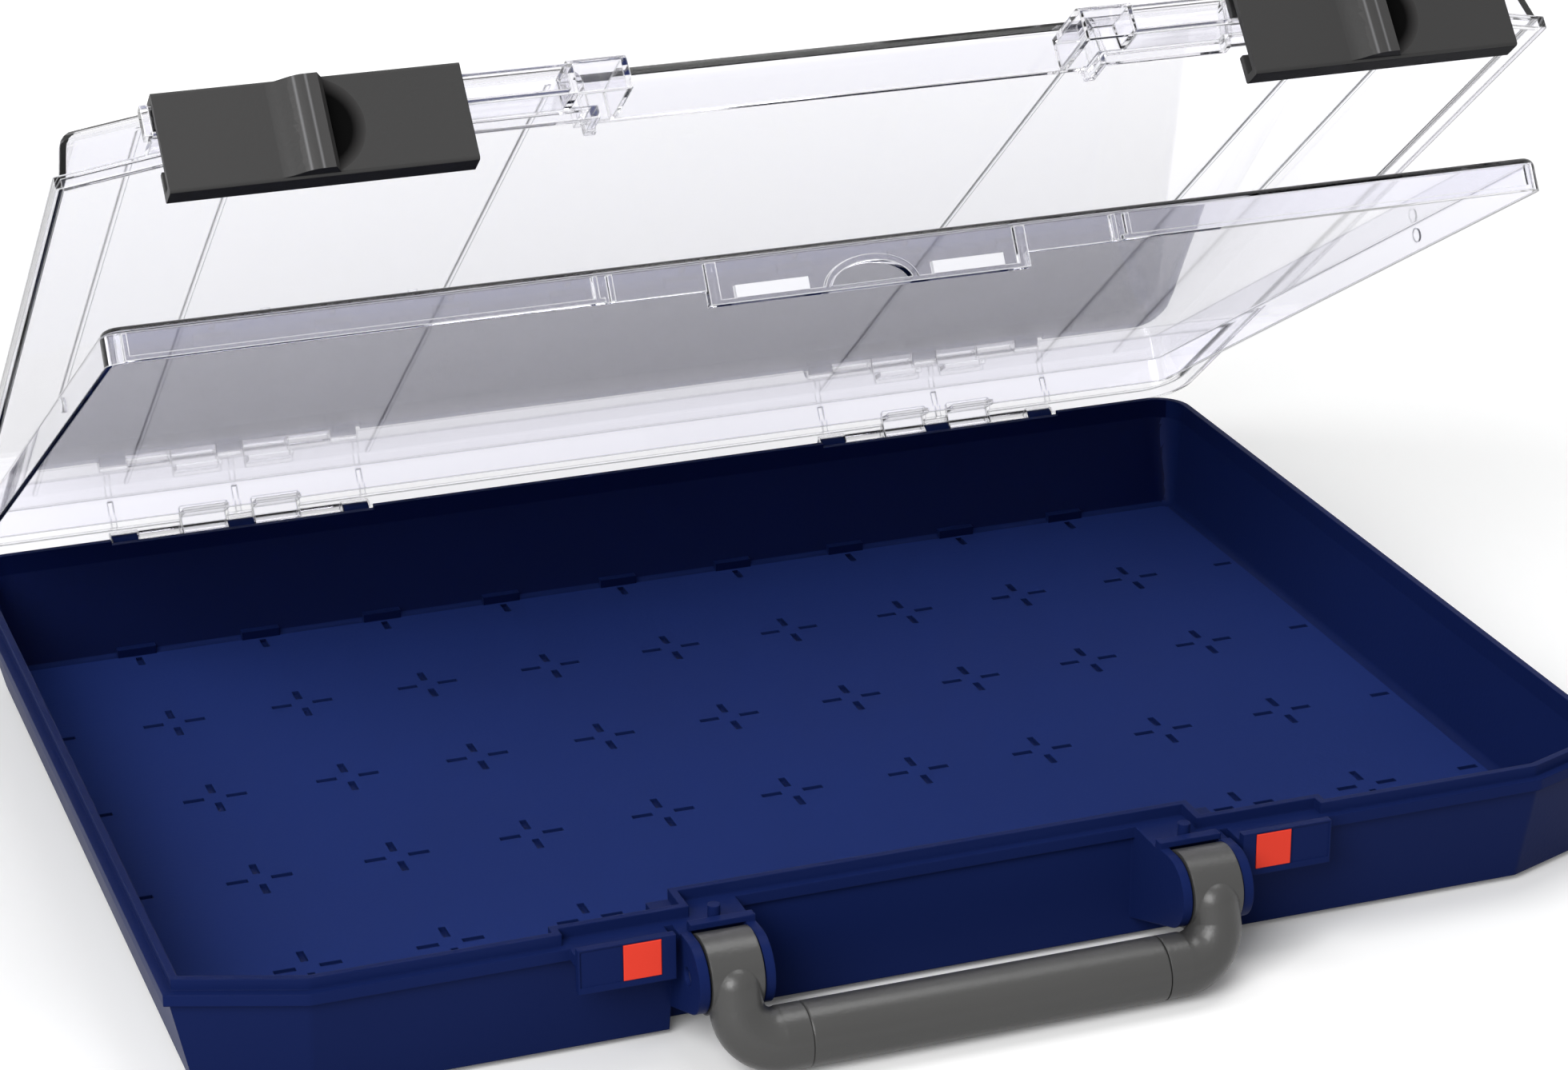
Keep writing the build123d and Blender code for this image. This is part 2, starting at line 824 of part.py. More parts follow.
def bridge_cover():
    """Hollow block of the right-hand half that sits over the handle's bridge and its peg."""
    low = lid_rail_low
    high = low + cover_height
    rear = recess_wall + overlap
    with BuildPart() as cover:
        add(upright(low, high, (cover_start, cover_end), (rail_front, rear)))
        top_front = cover.edges().filter_by(Axis.X).group_by(Axis.Z)[-1].sort_by(Axis.Y)[0]
        fillet(top_front, cover_rounding)
        add(
            upright(
                low - overcut,
                high - cover_wall,
                (cover_start + cover_wall, cover_end - cover_wall),
                (rail_front + cover_wall, rear + overcut),
            ),
            mode=Mode.SUBTRACT,
        )
    return cover.part


def arm_windows():
    """Openings in the rear wall for the arms of the inner lid."""
    with BuildPart() as windows:
        for start, end in owned_spans("inner"):
            add(upright(
                lid_bottom - overcut,
                arm_top + arm_window_margin,
                (start - knuckle_gap, end + knuckle_gap),
                (back - arm_window_depth, back + overcut),
            ))
    return windows.part


def outer_lid_closed():
    """Outer lid in its closed place."""
    with BuildPart() as lid:
        add(outer_lid_skin())
        add(bridge_cover())
        add(mirror(bridge_cover(), about=Plane.YZ, mode=Mode.PRIVATE))
        add(outer_lid_hollow(), mode=Mode.SUBTRACT)
        add(centre_gap(), mode=Mode.SUBTRACT)
        add(lid_ribs())
        add(lid_rail())
        add(mirror(lid_rail(), about=Plane.YZ, mode=Mode.PRIVATE))
        add(swing_space(("tray", "inner")), mode=Mode.SUBTRACT)
        add(arm_windows(), mode=Mode.SUBTRACT)
        add(knuckles("outer"))
        add(outer_knuckle_relief(), mode=Mode.SUBTRACT)
        add(hinge_bores("outer", running_clearance), mode=Mode.SUBTRACT)
    return lid.part


def outer_knuckle_relief():
    """Keeps the knuckles of the outer lid off the tray's lip."""
    with BuildPart() as relief:
        for start, end in owned_spans("outer"):
            add(upright(
                hinge_z - knuckle_relief,
                lip_top + lid_gap,
                (start, end),
                (back - knuckle_relief, back - lid_inner_inset),
            ))
    return relief.part


with BuildPart() as outer_lid:
    add(outer_lid_closed().rotate(hinge_axis, -outer_open_angle))


# ---- Latches, drawn on the closed lid

def latch_section():
    """Channel round both rails, seen from the end."""
    front_room = latch_outer + latch_plate
    rear_room = latch_inner - latch_lip
    top_room = latch_top - latch_lip
    bottom_room = latch_bottom + latch_lip
    with BuildSketch(Plane.YZ) as section:
        with Locations(((latch_outer + latch_inner) / 2, (latch_top + latch_bottom) / 2)):
            RectangleRounded(latch_inner - latch_outer, latch_top - latch_bottom, latch_edge_radius)
        with BuildLine():
            Polyline(
                (front_room, bottom_room),
                (front_room, top_room),
                (rear_room, top_room),
                (rear_room, top_room - latch_upper_return),
                (latch_inner + overcut, top_room - latch_upper_return),
                (latch_inner + overcut, bottom_room + latch_lower_return),
                (rear_room, bottom_room + latch_lower_return),
                (rear_room, bottom_room),
                close=True,
            )
        make_face(mode=Mode.SUBTRACT)
    return section.sketch


def thumb_ridge(middle):
    """Ridge across the front of a latch, with a slow rise on its left."""
    crest = latch_outer - ridge_height
    start = (middle - ridge_run, latch_outer + ridge_root)
    root = latch_outer + scoop_depth + 2 * ridge_root
    with BuildPart() as ridge:
        with BuildSketch(Plane.XY.offset(latch_bottom + ridge_end_margin)):
            with BuildLine():
                Spline(start, (middle - ridge_crest, crest), tangents=((1, 0), (1, 0)))
                Polyline(
                    (middle - ridge_crest, crest),
                    (middle + ridge_crest, crest),
                    (middle + scoop_offset, root),
                    (start[0], root),
                    start,
                )
            make_face()
        extrude(amount=latch_top - latch_bottom - 2 * ridge_end_margin)
    return ridge.part


def thumb_scoop(edge):
    """Shallow round scoop to the right of the ridge."""
    ball_radius = (scoop_radius ** 2 + scoop_depth ** 2) / (2 * scoop_depth)
    middle = edge - scoop_centre
    with BuildPart() as scoop:
        with BuildSketch(Plane.XY.offset((latch_top + latch_bottom) / 2)):
            with Locations((middle, latch_outer + scoop_depth)):
                Circle(ball_radius, align=(Align.CENTER, Align.MAX))
            with Locations((middle, latch_outer)):
                Rectangle(ball_radius, ball_radius, align=(Align.MIN, Align.CENTER), mode=Mode.INTERSECT)
        revolve(axis=Axis((middle, 0, (latch_top + latch_bottom) / 2), (0, 1, 0)))
        add(
            upright(
                latch_bottom - scoop_radius,
                latch_top + scoop_radius,
                (middle - 2 * ball_radius, edge - overcut),
                (latch_outer - 2 * ball_radius, latch_inner),
            ),
            mode=Mode.SUBTRACT,
        )
    return scoop.part


def latch(start):
    """Sliding latch from its left-hand end, with a thumb ridge and a scoop to the right of it."""
    middle = start + latch_length * ridge_share
    with BuildPart() as slider:
        add(latch_section().moved(Location((start, 0, 0))))
        extrude(amount=latch_length, dir=(1, 0, 0))
        add(thumb_ridge(middle))
        add(thumb_scoop(middle + scoop_offset), mode=Mode.SUBTRACT)
    return slider.part


with BuildPart() as latch_left:
    add(latch(-latch_start - latch_length).rotate(hinge_axis, -outer_open_angle))

with BuildPart() as latch_right:
    add(latch(latch_start).rotate(hinge_axis, -outer_open_angle))


# ---- Inner lid, drawn closed

def inner_lid_block(inset, low, high):
    """Rounded block of the inner lid, inset from its outside."""
    width = 2 * (inner_half_width - inset)
    with BuildPart() as block:
        with BuildSketch(Plane.XY.offset(low)) as outline:
            with Locations((0, (inner_rear - inner_front) / 2)):
                Rectangle(width, inner_rear + inner_front - 2 * inset)
            fillet(outline.vertices(), inner_corner_radius - inset)
        extrude(amount=high - low)
    return block.part


def snap_bracket():
    """Plate that hangs from the front edge, which the front's borders and tabs stand on."""
    return upright(
        bracket_bottom,
        inner_bottom + overlap,
        (-bracket_half_width - bracket_post_width / 2, bracket_half_width + bracket_post_width / 2),
        (-inner_front, -inner_front + inner_wall),
    )


def finger_arch(half_width, height):
    """Half ellipse that stands on the bracket's lower edge, in the plane of the front."""
    with BuildSketch() as arch:
        with Locations((0, bracket_bottom)):
            Ellipse(half_width, height)
            Rectangle(2 * half_width, 2 * height, align=(Align.CENTER, Align.MAX), mode=Mode.SUBTRACT)
    return arch.sketch


def finger_hole():
    """Opening for a fingertip in the middle of the bracket, above its lower border."""
    with BuildPart() as hole:
        with BuildSketch(Plane.XZ.offset(inner_front - inner_wall - overcut)):
            add(finger_arch(finger_arch_width / 2, finger_arch_height))
            with Locations((0, bracket_bottom)):
                Rectangle(
                    finger_arch_width,
                    border_width,
                    align=(Align.CENTER, Align.MIN),
                    mode=Mode.SUBTRACT,
                )
        extrude(amount=inner_wall + front_relief + 2 * overcut)
    return hole.part


def front_border():
    """Raised borders along the front's lower edge and round the finger hole, and the two snap tabs."""
    outer_start = outer_post_offset
    outer_end = inner_half_width - corner_post_inset
    with BuildPart() as border:
        with BuildSketch(Plane.XZ.offset(inner_front - overlap)):
            arch_height = finger_arch_height + arch_border_width
            add(finger_arch(finger_arch_width / 2 + arch_border_width, arch_height))
            with Locations((0, bracket_bottom)):
                Rectangle(2 * bracket_half_width, border_width, align=(Align.CENTER, Align.MIN))
            for side in (-1, 1):
                with Locations((side * tab_centre, bracket_bottom)):
                    Rectangle(tab_width, tab_height, align=(Align.CENTER, Align.MIN))
                with Locations((side * (outer_start + outer_end) / 2, inner_bottom)):
                    Rectangle(outer_end - outer_start, border_width, align=(Align.CENTER, Align.MIN))
        extrude(amount=overlap + front_relief)
    return border.part


def post_spans():
    """Middle, width and foot of each post on the right half of the front."""
    gap = outer_post_gap / 2
    return (
        (bracket_half_width, bracket_post_width, bracket_bottom),
        (outer_post_offset - gap, border_width, inner_bottom),
        (outer_post_offset + gap, border_width, inner_bottom),
        (inner_half_width - corner_post_inset, border_width, inner_bottom),
    )


def inner_lid_posts():
    """Upright ribs on the front of the inner lid, and the marks that its gates left on top."""
    with BuildPart() as posts:
        for side in (-1, 1):
            for middle, width, foot in post_spans():
                ends = sorted((side * (middle - width / 2), side * (middle + width / 2)))
                add(upright(
                    foot,
                    inner_top - inner_top_fillet,
                    ends,
                    (-inner_front - front_relief, -inner_front + overlap),
                ))
        for offset_x in gate_offsets:
            with Locations((-offset_x, -inner_front + inner_top_fillet + gate_radius, inner_top - overlap)):
                Cylinder(gate_radius, gate_height + overlap, align=(Align.CENTER, Align.CENTER, Align.MIN))
    return posts.part


def inner_arms():
    """Arms from the inner lid back to its knuckles."""
    with BuildPart() as arms:
        for start, end in owned_spans("inner"):
            with BuildSketch(Plane.YZ.offset(start)):
                with BuildLine():
                    Polyline(
                        (inner_rear - overcut, arm_top - arm_thickness),
                        (arm_back - arm_thickness, arm_top - arm_thickness),
                        (arm_back - arm_thickness, hinge_z),
                        (arm_back, hinge_z),
                        (arm_back, arm_top),
                        (inner_rear - overcut, arm_top),
                        close=True,
                    )
                make_face()
            extrude(amount=end - start)
    return arms.part


def inner_lid_closed():
    """Inner lid in its closed place."""
    with BuildPart() as lid:
        add(inner_lid_block(0, inner_bottom, inner_top))
        fillet(lid.faces().sort_by(Axis.Z)[-1].edges(), inner_top_fillet)
        add(inner_lid_block(inner_wall, inner_bottom - overcut, inner_top - inner_wall), mode=Mode.SUBTRACT)
        add(snap_bracket())
        add(inner_lid_posts())
        add(front_border())
        add(finger_hole(), mode=Mode.SUBTRACT)
        for side in (-1, 1):
            with Locations((side * inner_half_width, snap_nub_y, inner_bottom + inner_height / 2)):
                Cylinder(snap_nub_radius, 2 * snap_nub_height, rotation=(0, 90, 0))
        add(inner_arms())
        add(knuckles("inner"))
        add(hinge_bores("inner", running_clearance), mode=Mode.SUBTRACT)
    return lid.part


with BuildPart() as inner_lid:
    add(inner_lid_closed().rotate(hinge_axis, -inner_open_angle))


# ---- Pieces

pieces = {
    "base_tray": base_tray,
    "lock_indicator_left": lock_indicator_left,
    "lock_indicator_right": lock_indicator_right,
    "hinge_pin_left": hinge_pin_left,
    "hinge_pin_right": hinge_pin_right,
    "handle_pin_left": handle_pin_left,
    "handle_pin_right": handle_pin_right,
    "handle_core": handle_core,
    "handle_grip": handle_grip,
    "outer_lid": outer_lid,
    "latch_left": latch_left,
    "latch_right": latch_right,
    "inner_lid": inner_lid,
}

os.makedirs("parts", exist_ok=True)
for name, piece in pieces.items():
    piece.part.label = name
    export_step(piece.part, f"parts/{name}.step")
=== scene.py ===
"""Looks of the saw blade storage case: finishes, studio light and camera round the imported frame."""
import json
import math
import bpy
from mathutils import Matrix, Vector


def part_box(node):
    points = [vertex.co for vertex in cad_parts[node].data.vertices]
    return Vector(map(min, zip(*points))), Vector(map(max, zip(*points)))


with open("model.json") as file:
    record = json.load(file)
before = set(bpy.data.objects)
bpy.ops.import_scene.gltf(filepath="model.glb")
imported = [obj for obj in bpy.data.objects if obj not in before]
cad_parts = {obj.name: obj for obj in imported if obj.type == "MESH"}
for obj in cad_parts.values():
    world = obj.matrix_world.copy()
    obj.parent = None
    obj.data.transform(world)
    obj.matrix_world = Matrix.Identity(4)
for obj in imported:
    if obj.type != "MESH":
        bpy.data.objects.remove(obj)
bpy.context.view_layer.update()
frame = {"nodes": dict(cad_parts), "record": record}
nodes = frame["nodes"]
joints = {joint["name"]: joint for joint in frame["record"]["behaviour"]["joints"]}
open_angle = -joints["outer_lid_hinge"]["range_deg"][0]

MM = 0.001

# ---- Places on the case that take a finish, painted shade or painted highlights of their own
RIDGE_SHARE = 0.505           # middle of the thumb ridge along a latch
RIDGE_CREST = 1.5 * MM        # half the width of its crest
RIDGE_HEIGHT = 3.6 * MM       # crest above the front of the latch
RIDGE_RISE = 0.5 * MM         # the ridge counts from this far above the front
HIGHLIGHT_LOW = -4.5 * MM          # pale painted highlight lines along the ridge, from its middle
HIGHLIGHT_HIGH = -1.5 * MM
HIGHLIGHT_HALF = 0.5 * MM
SCOOP_SHADE_REACH = 19.0 * MM       # end of the painted shade in the scoop beside the ridge, from the ridge's middle
SCOOP_DEPTH = 1.6 * MM        # scoop below the front of the latch
SCOOP_MARGIN = 1.2            # faces take the painted shade down to this many depths
FLOOR_LEVEL = 4.0 * MM        # floor inside the tray
REAR_WALL = 125 * MM          # everything behind this is the tray's rear wall, which takes painted shade
TAB_SPAN = (17.0 * MM, 37.6 * MM)    # snap tabs of the inner lid, out from its middle
TAB_HEIGHT = 5.0 * MM         # and up from the lower edge of its bracket

# ---- Grain of the plastics
GRAIN = 900.0                 # fine grain of the moulds
STEEL_GRAIN = 1500.0
DRIFT = 9.0                   # broad drift of colour and gloss
WAVE = 14.0                   # waves in the clear lids
GRAIN_DEPTH = 0.2 * MM
WAVE_DEPTH = 0.6 * MM
SOFT_EDGE = 0.5 * MM
# width of the painted white highlight along the clear lids' edges
EDGE_HIGHLIGHT = 0.8 * MM

# ---- Camera, from a fit to the socket grid in the tray's floor
IMAGE_WIDTH = 1960            # pixels
FOCAL_LENGTH = 5154.02        # pixels
SENSOR_WIDTH = 36.0           # millimetres
CAMERA_TURN = math.radians(-20.08)
CAMERA_RISE = math.radians(22.41)
CAMERA_ROLL = math.radians(-0.25)
CAMERA_PLACE = (-0.36999, -1.03447, 0.52609)

CASE_MIDDLE = (0, 0, 0.05)    # what the lamps aim at


# ---- Material helpers

def principled(name):
    mat = bpy.data.materials.new(name)
    mat.use_nodes = True
    tree = mat.node_tree
    return mat, tree, tree.nodes["Principled BSDF"]


def noise(tree, scale, detail):
    """Noise fixed to the object."""
    coords = tree.nodes.new("ShaderNodeTexCoord")
    texture = tree.nodes.new("ShaderNodeTexNoise")
    texture.inputs["Scale"].default_value = scale
    texture.inputs["Detail"].default_value = detail
    tree.links.new(coords.outputs["Object"], texture.inputs["Vector"])
    return texture.outputs["Fac"]


def remap(tree, value, source, target):
    """Value moved linearly from one range to another, and held at its ends."""
    ramp = tree.nodes.new("ShaderNodeMapRange")
    ramp.inputs["From Min"].default_value = source[0]
    ramp.inputs["From Max"].default_value = source[1]
    ramp.inputs["To Min"].default_value = target[0]
    ramp.inputs["To Max"].default_value = target[1]
    tree.links.new(value, ramp.inputs["Value"])
    return ramp.outputs["Result"]


def blended(tree, factor, first, second):
    """Colour between two, each a triple or another node's output."""
    mix = tree.nodes.new("ShaderNodeMix")
    mix.data_type = "RGBA"
    tree.links.new(factor, mix.inputs["Factor"])
    for socket, colour in (("A", first), ("B", second)):
        if isinstance(colour, tuple):
            mix.inputs[socket].default_value = (*colour, 1)
        else:
            tree.links.new(colour, mix.inputs[socket])
    return mix.outputs["Result"]


def relief(tree, bsdf, height, strength, depth, edge_radius=0):
    """Bump from a height, over edges rounded by a radius."""
    bump = tree.nodes.new("ShaderNodeBump")
    bump.inputs["Strength"].default_value = strength
    bump.inputs["Distance"].default_value = depth
    tree.links.new(height, bump.inputs["Height"])
    if edge_radius:
        bevel = tree.nodes.new("ShaderNodeBevel")
        bevel.samples = 4
        bevel.inputs["Radius"].default_value = edge_radius
        tree.links.new(bevel.outputs["Normal"], bump.inputs["Normal"])
    tree.links.new(bump.outputs["Normal"], bsdf.inputs["Normal"])


def edge_factor(tree, radius, full):
    """One along the edges and nothing away from them."""
    bevel = tree.nodes.new("ShaderNodeBevel")
    bevel.samples = 6
    bevel.inputs["Radius"].default_value = radius
    geometry = tree.nodes.new("ShaderNodeNewGeometry")
    product = tree.nodes.new("ShaderNodeVectorMath")
    product.operation = "DOT_PRODUCT"
    tree.links.new(bevel.outputs["Normal"], product.inputs[0])
    tree.links.new(geometry.outputs["Normal"], product.inputs[1])
    return remap(tree, product.outputs["Value"], (0.995, full), (0.0, 1.0))


# ---- Materials

def moulded(name, dark, light, rough, specular, bump=0.25, edge_radius=SOFT_EDGE):
    """Opaque moulded plastic: fine grain, soft edges, slight drift of colour and gloss."""
    mat, tree, bsdf = principled(name)
    broad = noise(tree, DRIFT, 3.0)
    tree.links.new(remap(tree, broad, (0.3, 0.7), rough), bsdf.inputs["Roughness"])
    tree.links.new(blended(tree, broad, dark, light), bsdf.inputs["Base Color"])
    bsdf.inputs["Specular IOR Level"].default_value = specular
    relief(tree, bsdf, noise(tree, GRAIN, 4.0), bump, GRAIN_DEPTH, edge_radius)
    return mat


def latch_outward():
    """Direction that the front of a latch faces."""
    turn = math.radians(open_angle)
    return Vector((0, -math.cos(turn), math.sin(turn)))


def latch_front(node, outward):
    """How far the flat front of a latch lies along its outward direction."""
    return max(vertex.co.dot(outward) for vertex in nodes[node].data.vertices) - RIDGE_HEIGHT


def ridge_middle(node):
    low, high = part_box(node)
    return low[0] + (high[0] - low[0]) * RIDGE_SHARE


def scoop_painted_shade(name, node, plate):
    """Latch plastic of the thumb scoop with painted shade: darker the deeper it lies, and dull."""
    mat, tree, bsdf = principled(name)
    outward = latch_outward()
    face = latch_front(node, outward)
    coords = tree.nodes.new("ShaderNodeTexCoord")
    along = tree.nodes.new("ShaderNodeVectorMath")
    along.operation = "DOT_PRODUCT"
    along.inputs[1].default_value = outward
    tree.links.new(coords.outputs["Object"], along.inputs[0])
    # painted shade: near black towards the bottom of the scoop
    painted_shade = remap(tree, along.outputs["Value"], (face, face - 0.45 * SCOOP_DEPTH), (0.0, 1.0))
    tree.links.new(blended(tree, painted_shade, plate, (0.002, 0.002, 0.002)), bsdf.inputs["Base Color"])
    bsdf.inputs["Roughness"].default_value = 0.7
    bsdf.inputs["Specular IOR Level"].default_value = 0.02
    relief(tree, bsdf, noise(tree, GRAIN, 4.0), 0.3, GRAIN_DEPTH)
    return mat


def ridge_highlight_plastic(name, node, plate):
    """Latch plastic of the thumb ridge, with two pale painted highlight lines where its crest would catch
    the light.
    """
    mat, tree, bsdf = principled(name)
    middle = ridge_middle(node)
    coords = tree.nodes.new("ShaderNodeTexCoord")
    split = tree.nodes.new("ShaderNodeSeparateXYZ")
    tree.links.new(coords.outputs["Object"], split.inputs["Vector"])
    reach = (middle + HIGHLIGHT_LOW - 2 * HIGHLIGHT_HALF, middle + HIGHLIGHT_HIGH + 2 * HIGHLIGHT_HALF)
    share = remap(tree, split.outputs["X"], reach, (0.0, 1.0))
    lines = tree.nodes.new("ShaderNodeValToRGB")
    stops = lines.color_ramp.elements
    stops[0].color = stops[1].color = (*plate, 1)
    for line in (HIGHLIGHT_LOW, HIGHLIGHT_HIGH):
        # the pale grey stops are the painted highlight lines
        for offset, colour in ((-HIGHLIGHT_HALF, plate), (0, (0.145, 0.145, 0.150)), (HIGHLIGHT_HALF, plate)):
            stop = stops.new((middle + line + offset - reach[0]) / (reach[1] - reach[0]))
            stop.color = (*colour, 1)
    tree.links.new(share, lines.inputs["Fac"])
    tree.links.new(lines.outputs["Color"], bsdf.inputs["Base Color"])
    bsdf.inputs["Roughness"].default_value = 0.40
    bsdf.inputs["Specular IOR Level"].default_value = 0.2
    relief(tree, bsdf, noise(tree, GRAIN, 4.0), 0.3, GRAIN_DEPTH)
    return mat


def paint_latch(node, scoop, ridge_highlight, under):
    """Puts painted shade on the scoop and the flank beside it, pale painted highlight lines on the ridge and
    painted shade on the undersides.
    """
    mesh = nodes[node].data
    for mat in (scoop, ridge_highlight, under):
        mesh.materials.append(mat)
    ridge = ridge_middle(node)
    outward = latch_outward()
    face = latch_front(node, outward)
    for polygon in mesh.polygons:
        across = polygon.center.x - ridge
        height = polygon.center.dot(outward) - face
        in_scoop = height > -SCOOP_MARGIN * SCOOP_DEPTH
        flank = RIDGE_CREST < across < 3 * RIDGE_CREST and polygon.normal.x > 0.3 and in_scoop
        dish = (
            RIDGE_CREST < across < SCOOP_SHADE_REACH
            and in_scoop
            and height < -0.01 * MM
            and polygon.normal.dot(outward) > 0.9
        )
        crest = -4 * RIDGE_CREST < across <= RIDGE_CREST and height > RIDGE_RISE
        # painted shade on the scoop and the ridge's flank, painted highlight lines on the crest
        if flank or dish:
            polygon.material_index = 1
        elif crest and polygon.normal.dot(outward) > 0.5:
            polygon.material_index = 2
        # painted shade: faces turned downwards take a near-black copy of the latch plastic
        elif polygon.normal.z < -0.6:
            polygon.material_index = 3


def clear(name, tint, bend):
    """Clear moulded plastic, slightly wavy, with a painted white highlight along its edges."""
    mat, tree, bsdf = principled(name)
    edge = edge_factor(tree, EDGE_HIGHLIGHT, 0.80)
    # painted highlight: along the edges the lid turns whiter, less clear and rougher
    tree.links.new(blended(tree, edge, tint, (0.93, 0.93, 0.96)), bsdf.inputs["Base Color"])
    tree.links.new(remap(tree, edge, (0.0, 1.0), (1.0, 0.25)), bsdf.inputs["Transmission Weight"])
    tree.links.new(remap(tree, edge, (0.0, 1.0), (0.02, 0.40)), bsdf.inputs["Roughness"])
    bsdf.inputs["IOR"].default_value = bend
    relief(tree, bsdf, noise(tree, WAVE, 1.5), 0.10, WAVE_DEPTH)
    return mat


def painted_tab_highlight():
    """Painted white highlight of the snap tabs, a little clear."""
    mat, tree, bsdf = principled("painted_tab_highlight")
    bsdf.inputs["Base Color"].default_value = (0.86, 0.86, 0.90, 1)
    bsdf.inputs["Transmission Weight"].default_value = 0.15
    bsdf.inputs["Roughness"].default_value = 0.5
    relief(tree, bsdf, noise(tree, GRAIN, 4.0), 0.3, GRAIN_DEPTH)
    return mat


def paint_tabs(mat):
    """Puts the painted white highlight on the front of the inner lid's two snap tabs, found with the lid
    turned shut.
    """
    mesh = nodes["inner_lid"].data
    mesh.materials.append(mat)
    hinge = joints["inner_lid_hinge"]
    turn = Matrix.Rotation(math.radians(hinge["range_deg"][0]), 4, Vector(hinge["axis"]))
    place = Matrix.Translation(Vector(hinge["pos_m"]))
    shut = place @ turn @ place.inverted()
    corners = [shut @ vertex.co for vertex in mesh.vertices]
    foot = min(corner.z for corner in corners if corner.y < 0)
    for polygon in mesh.polygons:
        middle = shut @ polygon.center
        facing = shut.to_3x3() @ polygon.normal
        across = max(abs(corners[index].x) for index in polygon.vertices)
        inside = TAB_SPAN[0] < abs(middle.x) and across < TAB_SPAN[1]
        if inside and middle.z < foot + TAB_HEIGHT and middle.y < 0 and facing.y < 0.5:
            polygon.material_index = 1


def drawn_steel():
    mat, tree, bsdf = principled("drawn_steel")
    bsdf.inputs["Metallic"].default_value = 1.0
    bsdf.inputs["Base Color"].default_value = (0.55, 0.55, 0.56, 1)
    broad = noise(tree, DRIFT, 3.0)
    tree.links.new(remap(tree, broad, (0.3, 0.7), (0.25, 0.35)), bsdf.inputs["Roughness"])
    relief(tree, bsdf, noise(tree, STEEL_GRAIN, 4.0), 0.1, GRAIN_DEPTH)
    return mat


blue = moulded("blue_moulded", (0.0058, 0.0130, 0.072), (0.0080, 0.0170, 0.088), (0.34, 0.46), 0.03, 0.2)
# floor inside the tray: a matt finish, and a lighter blue that is painted light falling from above
lit_blue_floor = moulded("blue_matt_painted_light", (0.0150, 0.0310, 0.150), (0.0190, 0.0380, 0.175), (0.50, 0.62), 0.02, 0.3)
# the tray's rear wall: a darker copy of the blue, painted shade
painted_shade_blue_rear = moulded("blue_shaded", (0.0022, 0.0050, 0.034), (0.0030, 0.0066, 0.042), (0.34, 0.46), 0.02, 0.2)
latch_dark = (0.037, 0.037, 0.037)
latch_light = (0.043, 0.042, 0.042)
dark_grey = moulded("latch_moulded", latch_dark, latch_light, (0.38, 0.48), 0.15, bump=0.3)
red = moulded("red_moulded", (0.80, 0.046, 0.024), (0.86, 0.056, 0.030), (0.34, 0.44), 0.15, 0.1, 0.2 * MM)
grey = moulded("handle_moulded", (0.044, 0.044, 0.043), (0.056, 0.055, 0.054), (0.30, 0.38), 0.45, bump=0.35)
steel = drawn_steel()

paint = {
    "base_tray": blue,
    "lock_indicator_left": red,
    "lock_indicator_right": red,
    "hinge_pin_left": steel,
    "hinge_pin_right": steel,
    "handle_pin_left": steel,
    "handle_pin_right": steel,
    "handle_core": grey,
    "handle_grip": grey,
    "outer_lid": clear("clear_outer", (0.970, 0.966, 0.990), 1.33),
    "latch_left": dark_grey,
    "latch_right": dark_grey,
    "inner_lid": clear("clear_inner", (0.950, 0.945, 1.0), 1.40),
}
for name, mat in paint.items():
    mesh = nodes[name].data
    mesh.materials.clear()
    mesh.materials.append(mat)
for side in ("left", "right"):
    latch = f"latch_{side}"
    paint_latch(
        latch,
        scoop_painted_shade(f"scoop_{side}", latch, latch_light),
        ridge_highlight_plastic(f"ridge_{side}", latch, latch_light),
        # near-black copy of the latch plastic, painted shade for the undersides
        moulded(f"under_{side}", (0.008, 0.008, 0.010), (0.011, 0.011, 0.013), (0.5, 0.6), 0.05),
    )
paint_tabs(painted_tab_highlight())
tray_mesh = nodes["base_tray"].data
tray_mesh.materials.append(lit_blue_floor)
tray_mesh.materials.append(painted_shade_blue_rear)
for polygon in tray_mesh.polygons:
    # the tray's floor takes the matt blue with painted light
    if polygon.normal.z > 0.99 and abs(polygon.center.z - FLOOR_LEVEL) < 0.05 * MM:
        polygon.material_index = 1
    # the tray's rear wall takes the painted shade
    elif polygon.normal.y < -0.8 and polygon.center.y > REAR_WALL:
        polygon.material_index = 2


# ---- Light, floor and background

def seen(tree):
    """One for camera, glossy and transmitted rays before any diffuse bounce, which show the background."""
    path = tree.nodes.new("ShaderNodeLightPath")
    total = path.outputs["Is Camera Ray"]
    for output in ("Is Glossy Ray", "Is Transmission Ray"):
        add = tree.nodes.new("ShaderNodeMath")
        add.operation = "ADD"
        add.use_clamp = True
        tree.links.new(total, add.inputs[0])
        tree.links.new(path.outputs[output], add.inputs[1])
        total = add.outputs["Value"]
    first = tree.nodes.new("ShaderNodeMath")
    first.operation = "LESS_THAN"
    first.inputs[1].default_value = 0.5
    tree.links.new(path.outputs["Diffuse Depth"], first.inputs[0])
    both = tree.nodes.new("ShaderNodeMath")
    both.operation = "MULTIPLY"
    tree.links.new(total, both.inputs[0])
    tree.links.new(first.outputs["Value"], both.inputs[1])
    return both.outputs["Value"]


def pale_world(ambient):
    world = bpy.data.worlds.new("pale")
    bpy.context.scene.world = world
    world.use_nodes = True
    tree = world.node_tree
    background = tree.nodes["Background"]
    background.inputs["Color"].default_value = (1, 1, 1, 1)
    tree.links.new(remap(tree, seen(tree), (0.0, 1.0), (ambient, 1.0)), background.inputs["Strength"])


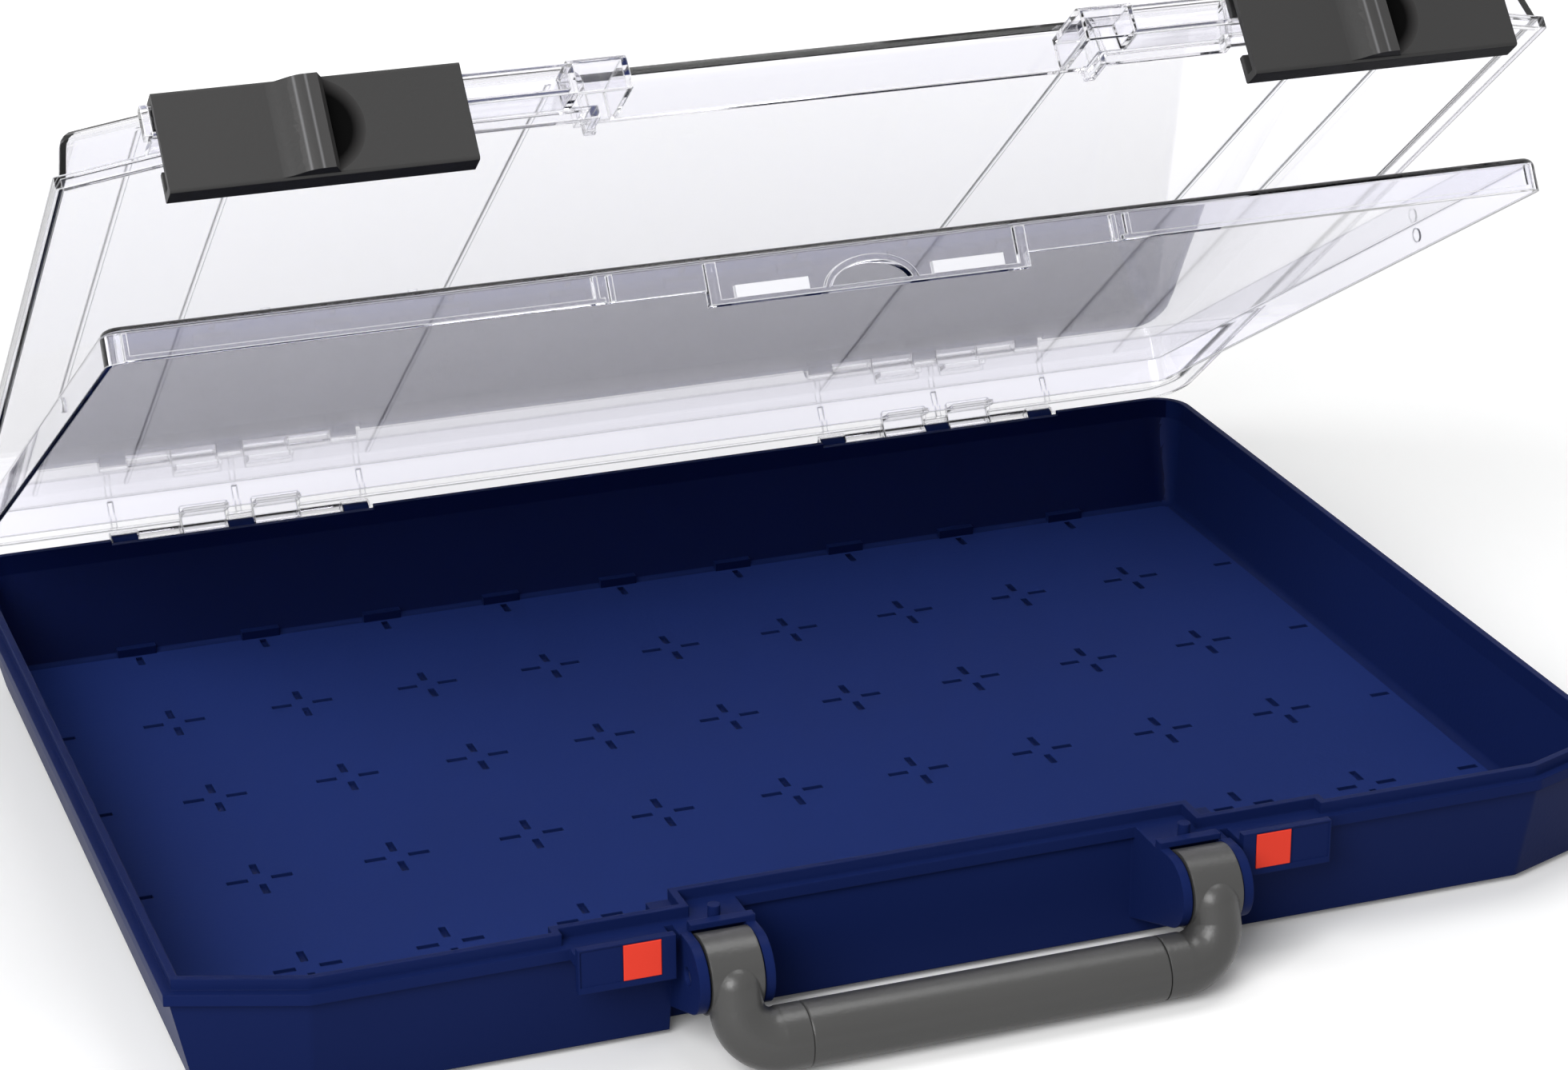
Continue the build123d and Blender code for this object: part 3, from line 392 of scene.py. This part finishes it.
def softbox(name, place, aim, size, level):
    """Square lamp that lights what faces it at its aim as much as a white world of this strength would."""
    light = bpy.data.lights.new(name, "AREA")
    light.size = size
    light.energy = level * math.pi ** 2 * (Vector(place) - Vector(aim)).length_squared
    lamp = bpy.data.objects.new(name, light)
    bpy.context.scene.collection.objects.link(lamp)
    lamp.location = place
    lamp.rotation_euler = (Vector(aim) - Vector(place)).to_track_quat("-Z", "Y").to_euler()


def pale_floor(reach, bounce, drop, fade, glow):
    """White plane just under the case that keeps its shadow and glows more with distance, over the fade."""
    corners = [(-reach, -reach, 0), (reach, -reach, 0), (reach, reach, 0), (-reach, reach, 0)]
    mesh = bpy.data.meshes.new("floor")
    mesh.from_pydata(corners, [], [(0, 1, 2, 3)])
    floor = bpy.data.objects.new("floor", mesh)
    bpy.context.scene.collection.objects.link(floor)
    floor.location = (0, 0, -drop)
    mat, tree, bsdf = principled("pale_floor")
    tree.links.new(
        blended(tree, seen(tree), (bounce, bounce, bounce), (1.0, 1.0, 1.0)),
        bsdf.inputs["Base Color"],
    )
    bsdf.inputs["Roughness"].default_value = 1.0
    bsdf.inputs["Specular IOR Level"].default_value = 0.0
    coords = tree.nodes.new("ShaderNodeTexCoord")
    away = tree.nodes.new("ShaderNodeVectorMath")
    away.operation = "LENGTH"
    tree.links.new(coords.outputs["Object"], away.inputs[0])
    emitted = tree.nodes.new("ShaderNodeMath")
    emitted.operation = "MULTIPLY"
    tree.links.new(remap(tree, away.outputs["Value"], fade, glow), emitted.inputs[0])
    tree.links.new(seen(tree), emitted.inputs[1])
    bsdf.inputs["Emission Color"].default_value = (1, 1, 1, 1)
    tree.links.new(emitted.outputs["Value"], bsdf.inputs["Emission Strength"])
    mesh.materials.append(mat)


pale_world(ambient=0.30)
softbox("key", (-0.85, -1.0, 0.92), CASE_MIDDLE, 0.9, 0.85)
softbox("top", (0.25, 0.1, 1.5), CASE_MIDDLE, 0.8, 0.35)
pale_floor(reach=6.0, bounce=0.5, drop=0.5 * MM, fade=(0.15, 0.80), glow=(0.05, 0.56))


# ---- Camera

def photo_camera():
    """Camera at the fitted place, with its picture turned by the roll."""
    forward = Vector((
        -math.sin(CAMERA_TURN) * math.cos(CAMERA_RISE),
        math.cos(CAMERA_TURN) * math.cos(CAMERA_RISE),
        -math.sin(CAMERA_RISE),
    ))
    level = forward.cross(Vector((0, 0, 1))).normalized()
    upright = level.cross(forward)
    right = math.cos(CAMERA_ROLL) * level + math.sin(CAMERA_ROLL) * upright
    up = -math.sin(CAMERA_ROLL) * level + math.cos(CAMERA_ROLL) * upright
    data = bpy.data.cameras.new("photo_camera")
    data.sensor_fit = "HORIZONTAL"
    data.sensor_width = SENSOR_WIDTH
    data.lens = SENSOR_WIDTH * FOCAL_LENGTH / IMAGE_WIDTH
    data.clip_end = 50.0
    camera = bpy.data.objects.new("photo_camera", data)
    bpy.context.scene.collection.objects.link(camera)
    rows = [(right[axis], up[axis], -forward[axis], CAMERA_PLACE[axis]) for axis in range(3)]
    camera.matrix_world = Matrix((*rows, (0, 0, 0, 1)))
    return camera


bpy.context.scene.camera = photo_camera()
bpy.context.scene.view_settings.view_transform = "Standard"
